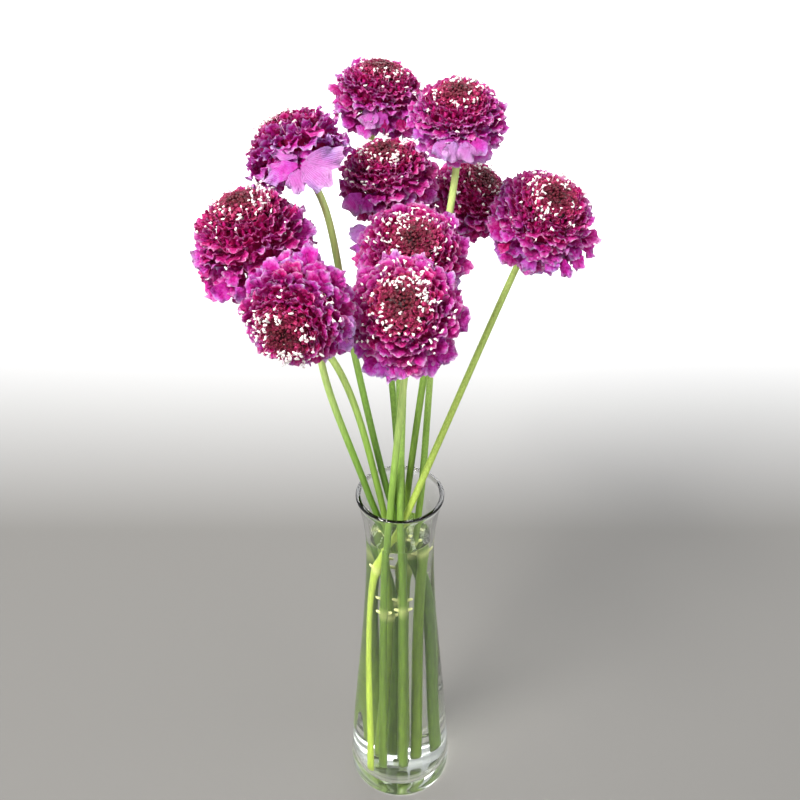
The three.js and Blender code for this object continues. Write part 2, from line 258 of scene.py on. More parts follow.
def tube(path, radii, sides, fluting=None):
    """A closed tube along a path. Returns its points, quads, caps and each point's way along it
    (0..1). fluting gives a factor on the radius at an angle."""
    path = np.asarray(path, float)
    rows = len(path)
    ahead = unit(np.gradient(path, axis=0))
    side = np.empty_like(ahead)
    side[0] = unit(np.cross(ahead[0], (0.3, 1.0, 0.2)))
    for i in range(1, rows):
        flat = side[i - 1] - ahead[i] * side[i - 1].dot(ahead[i])
        side[i] = flat / np.linalg.norm(flat)
    across = np.cross(ahead, side)
    angle = np.arange(sides) * 2 * math.pi / sides
    radius = np.broadcast_to(np.asarray(radii, float).reshape(-1, 1), (rows, sides)).copy()
    if fluting is not None:
        radius *= fluting(angle)[None, :]
    ring = (side[:, None] * np.cos(angle)[None, :, None]
            + across[:, None] * np.sin(angle)[None, :, None])
    points = (path[:, None] + ring * radius[..., None]).reshape(-1, 3)
    points = np.concatenate([points, path[:1], path[-1:]])
    along = np.concatenate([np.repeat(np.linspace(0, 1, rows), sides), [0, 1]])
    caps = end_caps(rows * sides, rows * sides + 1, (rows - 1) * sides, sides)
    return points, grid_faces(rows, sides, wrap=True), caps, along


def lathe(profile, sides):
    """A closed solid of revolution from (radius, height) points that start and end on the axis.
    Returns its points, quads and caps."""
    profile = np.asarray(profile, float)
    inner = profile[1:-1]
    rows = len(inner)
    angle = np.arange(sides) * 2 * math.pi / sides
    points = np.stack([
        inner[:, 0][:, None] * np.cos(angle)[None], inner[:, 0][:, None] * np.sin(angle)[None],
        np.broadcast_to(inner[:, 1][:, None], (rows, sides)),
    ], -1).reshape(-1, 3)
    points = np.concatenate([points, [[0, 0, profile[0, 1]], [0, 0, profile[-1, 1]]]])
    caps = end_caps(rows * sides, rows * sides + 1, (rows - 1) * sides, sides)
    return points, grid_faces(rows, sides, wrap=True), caps


def smooth_curve(points, steps, fine=40):
    """A centripetal Catmull-Rom curve through points, as the frame's stems are, evenly spaced."""
    p = np.asarray(points, float)
    p = np.concatenate([[2 * p[0] - p[1]], p, [2 * p[-1] - p[-2]]])
    out = []
    for i in range(1, len(p) - 2):
        p0, p1, p2, p3 = p[i - 1], p[i], p[i + 1], p[i + 2]
        t0 = 0.0
        t1 = t0 + np.linalg.norm(p1 - p0) ** 0.5
        t2 = t1 + np.linalg.norm(p2 - p1) ** 0.5
        t3 = t2 + np.linalg.norm(p3 - p2) ** 0.5
        t = np.linspace(t1, t2, fine, endpoint=i == len(p) - 3)[:, None]
        a1 = (t1 - t) / (t1 - t0) * p0 + (t - t0) / (t1 - t0) * p1
        a2 = (t2 - t) / (t2 - t1) * p1 + (t - t1) / (t2 - t1) * p2
        a3 = (t3 - t) / (t3 - t2) * p2 + (t - t2) / (t3 - t2) * p3
        b1 = (t2 - t) / (t2 - t0) * a1 + (t - t0) / (t2 - t0) * a2
        b2 = (t3 - t) / (t3 - t1) * a2 + (t - t1) / (t3 - t1) * a3
        out.append((t2 - t) / (t2 - t1) * b1 + (t - t1) / (t2 - t1) * b2)
    line = np.concatenate(out)
    far = np.concatenate([[0], np.cumsum(np.linalg.norm(np.diff(line, axis=0), axis=1))])
    want = np.linspace(0, far[-1], steps)
    return np.stack([np.interp(want, far, line[:, k]) for k in range(3)], -1)


# -------------------------------- materials


class Graph:
    """Short ways to add nodes to a material or the world. A value is a socket, a number or a
    colour, and each call returns the new node's output."""

    def __init__(self, owner):
        owner.use_nodes = True
        self.owner = owner
        self.nodes, self.links = owner.node_tree.nodes, owner.node_tree.links

    def feed(self, socket, value):
        if isinstance(value, (int, float)):
            socket.default_value = value
        elif isinstance(value, tuple):
            socket.default_value = (*value, 1)
        else:
            self.links.new(value, socket)

    def math(self, kind, *values):
        node = self.nodes.new("ShaderNodeMath")
        node.operation = kind
        for socket, value in zip(node.inputs, values):
            self.feed(socket, value)
        return node.outputs[0]

    def mix(self, kind, factor, a, b):
        node = self.nodes.new("ShaderNodeMix")
        node.data_type = "RGBA"
        node.blend_type = kind
        for index, value in ((0, factor), (6, a), (7, b)):
            self.feed(node.inputs[index], value)
        return node.outputs[2]

    def ramp(self, factor, stops):
        node = self.nodes.new("ShaderNodeValToRGB")
        band = node.color_ramp
        while len(band.elements) < len(stops):
            band.elements.new(0.5)
        for element, (place, colour) in zip(band.elements, stops):
            element.position = place
            element.color = (*colour, 1)
        self.links.new(factor, node.inputs["Fac"])
        return node.outputs["Color"]

    def place(self, space="Object"):
        return self.nodes.new("ShaderNodeTexCoord").outputs[space]

    def noise(self, scale, detail=3.0, rough=0.5, stretch=None):
        """Noise in the object's own space, or in that space scaled by stretch."""
        place = self.place()
        if stretch:
            mapping = self.nodes.new("ShaderNodeMapping")
            mapping.inputs["Scale"].default_value = stretch
            self.links.new(place, mapping.inputs["Vector"])
            place = mapping.outputs[0]
        node = self.nodes.new("ShaderNodeTexNoise")
        node.inputs["Scale"].default_value = scale
        node.inputs["Detail"].default_value = detail
        node.inputs["Roughness"].default_value = rough
        self.links.new(place, node.inputs["Vector"])
        return node.outputs["Fac"]

    def split(self, vector):
        node = self.nodes.new("ShaderNodeSeparateXYZ")
        self.links.new(vector, node.inputs[0])
        return node.outputs

    def marks(self):
        """The x, y and z of the vector that each point carries."""
        node = self.nodes.new("ShaderNodeAttribute")
        node.attribute_name = "mark"
        return self.split(node.outputs["Vector"])


class Surface(Graph):
    """A new material with a Principled shader, whose sockets are given by name."""

    def __init__(self, name, **sockets):
        super().__init__(bpy.data.materials.new(name))
        self.shader = self.nodes["Principled BSDF"]
        for key, value in sockets.items():
            self.shader.inputs[key.replace("_", " ")].default_value = value

    def colour(self, value):
        self.links.new(value, self.shader.inputs["Base Color"])

    def bump(self, height, strength, distance):
        node = self.nodes.new("ShaderNodeBump")
        node.inputs["Strength"].default_value = strength
        node.inputs["Distance"].default_value = distance
        self.links.new(height, node.inputs["Height"])
        self.links.new(node.outputs["Normal"], self.shader.inputs["Normal"])

    def blend(self, factor, other):
        """Mixes a second shader into the surface."""
        both = self.nodes.new("ShaderNodeMixShader")
        self.feed(both.inputs[0], factor)
        self.links.new(self.shader.outputs[0], both.inputs[1])
        self.links.new(other.outputs[0], both.inputs[2])
        self.links.new(both.outputs[0], self.nodes["Material Output"].inputs["Surface"])


# Colours from a petal's foot to its edge, on the innermost and on the outer florets. The deep
# crimson foot is the petals' own colour, raised brighter as painted light where shade falls in the
# gaps between florets.
PETAL_INNER = [
    (0.0, (0.42, 0.0006, 0.07)), (0.35, (0.64, 0.002, 0.14)), (0.72, (0.88, 0.03, 0.32)),
    (1.0, (0.97, 0.36, 0.68))]
PETAL_OUTER = [
    (0.0, (0.52, 0.001, 0.2)), (0.28, (0.76, 0.015, 0.44)), (0.56, (0.8, 0.095, 0.65)),
    (0.8, (0.78, 0.33, 0.76)), (1.0, (0.92, 0.68, 0.92))]
# Colours of a bud from its foot to its top, for the darkest and the brightest buds. The near black
# foot is painted shade in the gaps between the packed buds.
BUD_DARK = [
    (0.0, (0.015, 0.0006, 0.003)), (0.5, (0.05, 0.0008, 0.006)), (0.85, (0.11, 0.002, 0.012)),
    (1.0, (0.24, 0.012, 0.035))]
BUD_BRIGHT = [
    (0.0, (0.1, 0.001, 0.015)), (0.45, (0.24, 0.002, 0.04)), (0.8, (0.48, 0.01, 0.12)),
    (1.0, (0.82, 0.16, 0.38))]
# Colours up a stem from its foot to its head. Darker in the vase: painted shade that dims the stems
# seen through the glass and water. Paler towards the head: partly the stem's own paler green and
# partly painted light that lifts the shade under the head.
STEM_GREEN = [
    (0.0, (0.1, 0.18, 0.016)), (0.3, (0.06, 0.12, 0.01)), (0.58, (0.07, 0.15, 0.012)),
    (0.72, (0.22, 0.39, 0.06)), (0.85, (0.48, 0.63, 0.19)), (1.0, (0.58, 0.72, 0.23))]
STEM_LIME = [(0.0, (0.42, 0.55, 0.05)), (0.5, (0.4, 0.52, 0.06)), (1.0, (0.36, 0.48, 0.12))]
STUB_YELLOW = (0.75, 0.74, 0.32)


def grey(*stops):
    """Ramp stops from (place, level) pairs."""
    return [(place, (level, level, level)) for place, level in stops]


def petal_material():
    """Petals: mark x is across (-1..1), y is along (0..1), z is 0 for an inner floret, 1 for an
    outer one, and more for the palest and plainest large petals."""
    g = Surface("floret_magenta", Roughness=0.55, Specular_IOR_Level=0.15)
    across, along, age = g.marks()
    shade = g.noise(420.0, 4.0, 0.65)
    crinkle = g.noise(1100.0, 2.0)
    lift = g.math("MAXIMUM", g.math("SUBTRACT", age, 1.0), 0.0)
    plain = g.math("MULTIPLY_ADD", lift, -1.6, 1.0)
    run = g.math("ADD", along, g.math("MULTIPLY_ADD", shade, 1.3, -0.65))
    run = g.math("MULTIPLY_ADD", lift, 1.45, g.math("MULTIPLY", run, plain))
    colour = g.mix("MIX", age, g.ramp(run, PETAL_INNER), g.ramp(run, PETAL_OUTER))
    # Patches lean towards lilac.
    patch = g.ramp(g.noise(90.0, 2.0), grey((0.42, 0), (0.62, 1)))
    lilac = g.mix("MULTIPLY", 1.0, colour, (0.9, 1.1, 1.06))
    colour = g.mix("MIX", g.math("MULTIPLY", patch, age), colour, lilac)
    # Painted highlights: fine pale spots painted as glints where the crinkles catch the light, and
    # painted shade in the dark spots between them.
    speck = g.noise(620.0, 1.5)
    # The pale spots are painted highlights.
    pale = g.math("MULTIPLY", g.math("MULTIPLY", along, plain),
                  g.ramp(speck, grey((0.52, 0), (0.66, 0.8))))
    colour = g.mix("SCREEN", pale, colour, (0.6, 0.24, 0.5))
    # The dark spots are painted shade.
    shadow = g.math("MULTIPLY", plain, g.ramp(speck, grey((0.34, 0.6), (0.46, 0))))
    colour = g.mix("MULTIPLY", shadow, colour, (0.5, 0.12, 0.34))
    # Veins run along the petal and fade towards its edge.
    ripple = g.math("SINE", g.math("MULTIPLY", across, 21.0))
    vein = g.math("POWER", g.math("ABSOLUTE", ripple), 5.0)
    fade = g.math("SUBTRACT", 1.0, g.math("MULTIPLY", along, 0.75))
    vein_dark = g.math("MULTIPLY", g.math("MULTIPLY", vein, fade), 0.3)
    colour = g.mix("MULTIPLY", vein_dark, colour, (0.45, 0.12, 0.3))
    g.colour(colour)
    g.bump(g.math("MULTIPLY_ADD", vein, 0.4, crinkle), 0.7, 0.0008)
    # Light passes through the thin petals.
    through = g.nodes.new("ShaderNodeBsdfTranslucent")
    g.links.new(colour, through.inputs["Color"])
    g.blend(0.45, through)
    return g.owner


def bud_material():
    """Buds: mark y is how high it is on a closed bud or how far along on an open lobe (0..1), z is
    0 for the darkest and 1 for the brightest."""
    g = Surface("bud_crimson", Roughness=0.5, Specular_IOR_Level=0.3)
    _, height, bright = g.marks()
    spots = g.noise(900.0, 2.0)
    # Each bud darkens towards its foot, painted shade where the buds press together.
    tip = g.math("ADD", height, g.math("MULTIPLY_ADD", spots, 0.5, -0.25))
    g.colour(g.mix("MIX", bright, g.ramp(tip, BUD_DARK), g.ramp(tip, BUD_BRIGHT)))
    g.bump(spots, 0.3, 0.0003)
    return g.owner


def anther_material():
    """Anthers: mark x is 1 on the anther and 0 on its thread, y is along the thread."""
    g = Surface("anther_white", Roughness=0.7, Specular_IOR_Level=0.3)
    kind, along, _ = g.marks()
    grain = g.noise(1500.0)
    white = g.ramp(grain, [(0.25, (0.72, 0.62, 0.6)), (0.6, (0.9, 0.86, 0.82))])
    thread = g.ramp(along, [(0.0, (0.5, 0.03, 0.2)), (1.0, (0.8, 0.45, 0.6))])
    g.colour(g.mix("MIX", kind, thread, white))
    g.bump(grain, 0.3, 0.0002)
    return g.owner


def stem_material():
    """Stems: mark x is height (0 foot, 1 head), y is 1 on a cut stub or node, z is how lime."""
    g = Surface("stem_green", Roughness=0.5, Specular_IOR_Level=0.4)
    height, stub, lime = g.marks()
    # The height ramp holds painted shade low in the vase and painted light at the head end.
    colour = g.mix("MIX", lime, g.ramp(height, STEM_GREEN), g.ramp(height, STEM_LIME))
    streak = g.noise(1400.0, stretch=(1.0, 1.0, 0.06))
    colour = g.mix("OVERLAY", 0.45, colour, g.ramp(streak, grey((0.3, 0.3), (0.7, 0.7))))
    g.colour(g.mix("MIX", stub, colour, STUB_YELLOW))
    g.bump(streak, 0.3, 0.0003)
    return g.owner


def clear_material(name, ior, tint):
    """Glass or water. Shadow rays pass straight through, tinted, and light what is inside."""
    g = Surface(name, Base_Color=(*tint, 1), Roughness=0.0, IOR=ior, Transmission_Weight=1.0)
    through = g.nodes.new("ShaderNodeBsdfTransparent")
    through.inputs["Color"].default_value = (*[0.5 + 0.5 * c for c in tint], 1)
    g.blend(g.nodes.new("ShaderNodeLightPath").outputs["Is Shadow Ray"], through)
    return g.owner


petal_stuff = petal_material()
bud_stuff = bud_material()
anther_stuff = anther_material()
stem_stuff = stem_material()
glass_stuff = clear_material("vase_glass", 1.48, (0.955, 0.965, 0.95))
water_stuff = clear_material("water", 1.33, (0.975, 0.985, 0.975))

# -------------------------------- blooms

HEAD_SIDES = 24
# Rows and columns of points on a petal lobe, and the faces and the rim of such a sheet.
LOBE_GRIDS = {"large": (7, 10), "middle": (5, 7), "small": (4, 6)}
SHEET = {kind: (sheet_faces(*grid), sheet_rim(*grid)) for kind, grid in LOBE_GRIDS.items()}
# How deep a lobe's edge is scalloped, and how high the edge waves and the face crinkles, as shares
# of its size.
SCALLOP, RUFFLE, CRINKLE = 0.07, 0.1, 0.045


def add_lobes(build, kind, random, root, ahead, above, length, width, age,
              cup=0.0, bend=0.0, ruffle=1.0, claw=0.35, thick=0.3):
    """Round crinkled petal lobes as thin closed sheets, all of one grid. Each row of root, ahead
    (unit, along), above (unit, off its face), length, width and age (mark z) is a lobe. bend is
    how far it curls back along its length in radians, cup lifts its sides, ruffle waves its edge
    and claw is how wide its foot is, as shares of its size."""
    rows, columns = LOBE_GRIDS[kind]
    n = len(root)
    v = np.linspace(-1, 1, rows)[None, :, None]
    u = np.linspace(-1, 1, columns)[None, None, :]

    def each(value):
        return np.broadcast_to(np.asarray(value, float), (n,)).reshape(n, 1, 1)

    def chance(low, high):
        return random.uniform(low, high, (n, 1, 1))

    length, width = each(length), each(width)
    # The square grid becomes a round disc, whose border is waved and whose foot is drawn in.
    x = u * np.sqrt(1 - 0.5 * v ** 2) + 0 * length
    y = v * np.sqrt(1 - 0.5 * u ** 2) + 0 * length
    turn = np.arctan2(x, y + 0.25)
    edge = np.sqrt(x ** 2 + y ** 2)
    lobes, first, second = chance(4.5, 7.5), chance(0, 6.28), chance(0, 6.28)
    scallop = np.cos(lobes * turn + first) + 0.6 * np.cos(1.9 * lobes * turn + second)
    scallop = 1 + SCALLOP * edge ** 3 * scallop
    deep, aim = chance(0.0, 0.22), chance(-0.4, 0.4)
    cleft = 1 - deep * hump(turn, aim, 0.28) * edge ** 4
    x, y = x * scallop, y * scallop * cleft
    along = np.clip(0.5 * (y + 1), 0, 1.2)
    foot = each(claw) + (1 - each(claw)) * np.sin(0.5 * math.pi * np.clip(along / 0.62, 0, 1))
    side = 0.5 * width * x * foot + chance(-0.14, 0.14) * length * along ** 2
    # Waves stand at the edge, a crinkle all over, and the sides lift.
    waves = np.sin(lobes * 0.9 * turn + second) + 0.7 * np.sin(1.7 * lobes * turn + first)
    crinkle = np.sin(7 * x + first) * np.sin(6 * y + second)
    up = (0.5 * (length + width)) * (
        RUFFLE * each(ruffle) * waves * edge ** 2 * np.clip(2.2 * along, 0, 1)
        + CRINKLE * each(ruffle) * crinkle * along + each(cup) * x ** 2 * np.sqrt(along))
    # The length curls back on an arc.
    bend = each(bend) + 1e-4 + 0 * along
    ahead_out = length * np.sin(bend * along) / bend + up * np.sin(bend * along)
    above_out = -length * (1 - np.cos(bend * along)) / bend + up * np.cos(bend * along)
    beside = np.cross(above, ahead)
    middle = root[:, None, None] + ahead_out[..., None] * ahead[:, None, None]
    middle = middle + side[..., None] * beside[:, None, None]
    middle = middle + above_out[..., None] * above[:, None, None]
    # Both faces stand half a thickness off the middle, and share its border.
    normal = unit(np.cross(np.gradient(middle, axis=2), np.gradient(middle, axis=1)))
    half = (0.5 * each(thick) * (1 - 0.5 * edge ** 2))[:, 1:-1, 1:-1, None] * normal[:, 1:-1, 1:-1]
    top, low = middle.copy(), middle[:, 1:-1, 1:-1] - half
    top[:, 1:-1, 1:-1] += half
    out = np.clip(0.2 + 0.8 * edge * (0.3 + 0.7 * along), 0, 1) * np.sqrt(along)
    mark = np.stack(np.broadcast_arrays(u, out, each(age)), -1)
    points = np.concatenate([top.reshape(n, -1, 3), low.reshape(n, -1, 3)], 1)
    mark = np.concatenate([mark.reshape(n, -1, 3), mark[:, 1:-1, 1:-1].reshape(n, -1, 3)], 1)
    faces, rim = SHEET[kind]
    offset = (np.arange(n) * points.shape[1])[:, None, None]
    build.add(points.reshape(-1, 3), (faces[None, :, ::-1] + offset).reshape(-1, 4),
              mark.reshape(-1, 3), rim=np.tile(rim, n))


def dome_height(rho, depth):
    """Height of the bud dome at a distance from the axis, both as shares of the radius."""
    inside = np.clip(1 - (np.asarray(rho) / BUD_RADIUS) ** 2, 0, 1)
    return (CORE_TOP + BUD_HEIGHT * np.sqrt(inside)) * depth


# The lobes of a floret, each as its angle and its length and width as shares of the head's
# radius. A lobe past BACK degrees points to the middle of the head, and is small and steeper.
BACK = 100
SKIRT = [(0, 0.4, 0.36), (50, 0.36, 0.33), (-50, 0.36, 0.33)]
WIDE = [(0, 0.35, 0.31), (54, 0.3, 0.28), (-54, 0.3, 0.28), (125, 0.16, 0.17)]
HALF = [(0, 0.24, 0.22), (58, 0.22, 0.2), (-58, 0.22, 0.2), (150, 0.14, 0.15)]
TIGHT = [(0, 0.16, 0.15), (75, 0.15, 0.14), (-75, 0.15, 0.14), (180, 0.12, 0.13)]
CURLED = [(0, 0.12, 0.11), (80, 0.11, 0.11), (-80, 0.11, 0.11), (180, 0.1, 0.1)]

# Rings of florets from the skirt up. throat is (distance from the axis, height) of a floret's
# mouth, pitch the slope of its mouth in degrees, age how far its colours are those of the outer
# florets, kind the grid of its lobes, and tube the length of its tube below the mouth.
RINGS = [
    dict(count=11, throat=(0.58, -0.24), pitch=-42, lobes=SKIRT, age=1.0, kind="large", tube=0.3),
    dict(count=12, throat=(0.67, -0.06), pitch=-16, lobes=WIDE, age=0.95, kind="large", tube=0.3),
    dict(count=12, throat=(0.68, 0.12), pitch=4, lobes=WIDE, age=0.85, kind="large", tube=0.25),
    dict(count=16, throat=(0.68, 0.26), pitch=20, lobes=HALF, age=0.72, kind="middle", tube=0.2),
    dict(count=18, throat=(0.62, 0.38), pitch=32, lobes=HALF, age=0.58, kind="middle", tube=0.15),
    dict(count=20, throat=(0.56, 0.48), pitch=44, lobes=TIGHT, age=0.45, kind="middle", tube=0.12),
    dict(count=22, throat=(0.48, 0.57), pitch=56, lobes=TIGHT, age=0.3, kind="small", tube=0.1),
    dict(count=20, throat=(0.4, 0.64), pitch=66, lobes=CURLED, age=0.15, kind="small", tube=0.08),
]
RING_TURN = 0.37
TUBE_RADII = [0.5, 0.7, 1.1]


def make_receptacle(build, flower):
    """The short thick middle that the florets stand on, wide enough to see nothing past it."""
    r = flower["radius"]
    top = CORE_TOP * flower["depth"]
    core = [(0, CORE_BOTTOM), (0.3, CORE_BOTTOM), (0.5, -0.1), (0.56, 0.02), (0.53, 0.14),
            (0.47, 0.3), (0.42, top), (0, top)]
    points, quads, caps = lathe([(a * r, b * r) for a, b in core], HEAD_SIDES)
    build.add(points, quads, (0.0, 0.05, 0.2), caps)


def make_florets(build, flower, random):
    """The ruffled florets of one head."""
    r = flower["radius"]
    for level, ring in enumerate(RINGS):
        count = ring["count"]

        def chance(low, high):
            return random.uniform(low, high, count)

        azimuth = (np.arange(count) + chance(-0.22, 0.22)) * 2 * math.pi / count + RING_TURN * level
        rho = (ring["throat"][0] + chance(-0.04, 0.04)) * r
        height = (ring["throat"][1] * flower["depth"] + chance(-0.035, 0.035)) * r
        radial = polar(azimuth)
        throat = radial * rho[:, None] + UP * height[:, None]
        # Each floret faces out at its ring's pitch, and is rolled a little.
        pitch = np.radians(ring["pitch"] + chance(-11, 11))
        outward = radial * np.cos(pitch)[:, None] + UP * np.sin(pitch)[:, None]
        above = -radial * np.sin(pitch)[:, None] + UP * np.cos(pitch)[:, None]
        roll = np.radians(chance(-14, 14))
        beside = np.cross(above, outward)
        above = unit(above * np.cos(roll)[:, None] + beside * np.sin(roll)[:, None])
        beside = np.cross(above, outward)
        size, spin = chance(0.85, 1.12), chance(-16, 16)
        tone = ring["age"] * (0.55 + 0.45 * chance(0.4, 1.2))
        tone = tone * (0.75 + 0.4 * flower["pale"]) - 0.22 * flower["dark"]
        for angle, length, width in ring["lobes"]:
            back = abs(angle) > BACK
            turn = np.radians(angle + spin + chance(-9, 9))
            ahead = outward * np.cos(turn)[:, None] + beside * np.sin(turn)[:, None]
            tilt = np.radians(chance(2, 34) + (24 if back else 0))
            face = unit(above * np.cos(tilt)[:, None] - ahead * np.sin(tilt)[:, None])
            ahead = unit(ahead * np.cos(tilt)[:, None] + above * np.sin(tilt)[:, None])
            reach = length * size * chance(0.85, 1.12) * r
            broad = width * size * chance(0.9, 1.2) * r
            add_lobes(build, "small" if back else ring["kind"], random,
                      throat - ahead * 0.02 * r, ahead, face, reach, broad,
                      np.clip(tone + chance(-0.3, 0.34), 0, 1.2),
                      cup=chance(-0.1, 0.2), bend=chance(0.1, 1.3), ruffle=chance(0.7, 1.5))
        # The tube of each floret runs from its throat down into the receptacle.
        for at, out, off in zip(throat, outward, above):
            below = at - out * ring["tube"] * r * 0.8 - off * 0.1 * r
            path = [below, 0.5 * (below + at) - off * 0.02 * r, at + off * 0.012 * r]
            points, quads, caps, along = tube(path, TUBE_RADII, 5)
            mark = np.stack([0 * along, 0.25 * along, 0 * along + 0.3], -1)
            build.add(points, quads, mark, caps)


def make_showy(build, petals, turn, random):
    """The few large petals whose backs or faces are turned to the viewer."""
    right, up, towards, angle, length, width, pale = np.array(petals, float).T
    angle = np.radians(angle)
    ahead = np.cos(angle)[:, None] * RIGHT + np.sin(angle)[:, None] * RISE
    root = right[:, None] * RIGHT + up[:, None] * RISE + towards[:, None] * TOWARDS
    face = unit(TOWARDS + random.uniform(-0.55, 0.55, root.shape))
    face = unit(face - ahead * np.sum(face * ahead, 1, keepdims=True))
    # The build is in the head's own space, so each direction is turned back into it.
    add_lobes(build, "large", random, root @ turn, ahead @ turn, face @ turn, length, width, pale,
              cup=random.uniform(-0.15, 0.2, len(root)), bend=random.uniform(0.0, 0.9, len(root)),
              ruffle=1.3, claw=0.5)


CLOSED_BUDS = 110
OPEN_BUDS = 88
# How far out the closed buds and the dome under them go, and how deep it lies below their tops.
CLOSED_SPREAD, DOME_EDGE, DOME_SINK = 0.33, 0.42, 0.05
# A closed bud before it is sized: a round knob of radius 1 and height 2.
KNOB, KNOB_FACES, KNOB_CAPS = lathe(
    [(0, 0)] + [(math.sin(a), 1 - math.cos(a)) for a in np.linspace(0.5, 2.9, 5)] + [(0, 2)], 8)


def make_closed_buds(build, flower, random):
    """The closed buds in the middle of a head, knob against knob on their dome."""
    r, depth = flower["radius"], flower["depth"]
    base = CORE_TOP * r * depth + SEAT_GAP
    profile = [(0, base), (DOME_EDGE * r, base)]
    profile += [(rho * r, dome_height(rho, depth) * r + SEAT_GAP - DOME_SINK * r)
                for rho in (DOME_EDGE, 0.36, 0.28, 0.16, 0.06)]
    points, quads, caps = lathe(profile + [(0, 0.77 * r * depth)], HEAD_SIDES)
    # The dome takes the near black foot colour of a bud, painted shade between the buds.
    build.add(points, quads, (0.0, 0.2, 0.0), caps)
    around = np.arctan2(KNOB[:, 1], KNOB[:, 0])
    for i in range(CLOSED_BUDS):
        share = math.sqrt((i + 0.5) / CLOSED_BUDS)
        rho = CLOSED_SPREAD * share
        azimuth = i * GOLDEN_ANGLE + random.uniform(-0.2, 0.2)
        slope = math.asin(min(0.97, rho / 0.48)) * 0.95
        radial = polar(azimuth)
        axis = radial * math.sin(slope) + UP * math.cos(slope)
        size = (0.025 + 0.012 * share) * r * random.uniform(0.7, 1.25)
        tall = size * random.uniform(1.2, 2.2)
        turn = turn_to(unit(axis + random.uniform(-0.25, 0.25, 3)))
        seat = (dome_height(min(rho, DOME_EDGE), depth) - DOME_SINK) * r + SEAT_GAP
        sunk = radial * rho * r + UP * seat - axis * random.uniform(0.45, 0.9) * tall
        # Its top has four soft lobes round a dent.
        lobes = 1 + 0.2 * np.cos(4 * around + random.uniform(0, 6)) * (KNOB[:, 2] > 1)
        dent = np.exp(-((KNOB[:, 0] ** 2 + KNOB[:, 1] ** 2) / 0.2)) * (KNOB[:, 2] > 1.5)
        knob = KNOB * np.stack([size * lobes, size * lobes, np.full(len(KNOB), tall)], -1)
        knob[:, 2] -= 0.45 * tall * dent
        bright = np.clip(0.75 * share ** 2 - 0.15 + random.uniform(-0.12, 0.25), 0, 1)
        high = 0.5 * KNOB[:, 2]
        # Its dent is painted darker, painted shade in the hollow.
        mark = np.stack([high, high - 0.35 * dent, np.full(len(KNOB), bright)], -1)
        build.add(knob @ turn.T + sunk, KNOB_FACES, mark, KNOB_CAPS)


def make_open_buds(build, flower, random):
    """Opening buds with three short curled lobes among the closed ones, more of them towards the
    shoulder."""
    r = flower["radius"]

    def chance(low, high):
        return random.uniform(low, high, OPEN_BUDS)

    azimuth = np.arange(OPEN_BUDS) * GOLDEN_ANGLE + chance(-0.3, 0.3)
    rho = 0.1 + 0.35 * ((np.arange(OPEN_BUDS) + 0.5) / OPEN_BUDS) ** 0.75
    radial = polar(azimuth)
    height = (dome_height(rho, flower["depth"]) - 0.03) * r + SEAT_GAP
    throat = radial * (rho * r)[:, None] + UP * height[:, None]
    for k in range(3):
        way = azimuth + k * 2.1 + chance(-0.5, 0.5)
        ahead = unit(polar(way) * 0.7 + UP * chance(0.3, 1.1)[:, None] + radial * 0.3)
        face = unit(np.cross(np.cross(ahead, UP), ahead))
        add_lobes(build, "small", random, throat, ahead, face,
                  (0.05 + 0.12 * rho) * chance(0.8, 1.25) * r,
                  (0.05 + 0.1 * rho) * chance(0.8, 1.25) * r,
                  2.7 * rho - 0.35 + chance(-0.2, 0.3), cup=0.2, bend=chance(0.2, 1.4), thick=0.28)


# The share of the anthers that stand round the buds, and the radii along a thread and, as shares
# of its thickness, along an anther.
RING_SHARE = 0.62
THREAD_RADII = [0.16, 0.13, 0.1]
ANTHER_SHAPE = np.array([0.45, 1.0, 0.85, 0.5])


def make_anthers(build, flower, random):
    """White anthers on thin threads: most in clumps round the buds, the others among the
    florets."""
    r, total = flower["radius"], flower["anthers"]
    clumps = random.uniform(0, 2 * math.pi, 7)
    for i in range(total):
        ring = i < RING_SHARE * total
        azimuth = random.uniform(0, 2 * math.pi)
        if ring and i % 5:
            azimuth = random.choice(clumps) + random.normal(0, 0.28)
        if ring:
            rho = random.normal(0.36, 0.08)
            lift = random.uniform(0.72, 0.88)
        else:
            rho = 0.46 + 0.42 * random.uniform(0, 1) ** 1.6
            lift = 0.84 - 0.85 * (rho - 0.4) + random.uniform(-0.06, 0.05)
        lift = lift * flower["depth"]
        radial = polar(azimuth)
        head = radial * rho * r + UP * lift * r
        root = radial * (rho * 0.82) * r + UP * (lift - 0.3) * r
        bow = radial * random.uniform(-0.03, 0.05) * r
        path = np.array([root, 0.6 * head + 0.4 * root + bow, head])
        points, quads, caps, along = tube(path, THREAD_RADII, 4)
        build.add(points, quads, np.stack([0 * along, along, 0 * along], -1), caps)
        # The anther lies across the end of its thread, bent like a bean; some have split in two.
        for half in range(1 if random.uniform() < 0.6 else 2):
            way = unit(polar(random.uniform(0, 2 * math.pi)) + UP * random.uniform(-0.5, 0.7))
            long = random.uniform(0.4, 0.95)
            bend = random.uniform(0.0, 0.5)
            side = unit(np.cross(way, UP + 0.001))
            steps = np.linspace(-1, 1, 4)
            line = (head + way * ((steps + 0.7 * half) * long)[:, None]
                    + side * (bend * steps ** 2)[:, None])
            fat = random.uniform(0.3, 0.52) * ANTHER_SHAPE
            points, quads, caps, _ = tube(line, fat, 5)
            build.add(points, quads, (1.0, 0.0, 0.0), caps)


# -------------------------------- stems

STEM_ROWS, STEM_SIDES = 90, 16
STUB_RADII = [1.1, 1.0, 0.85, 0.45]
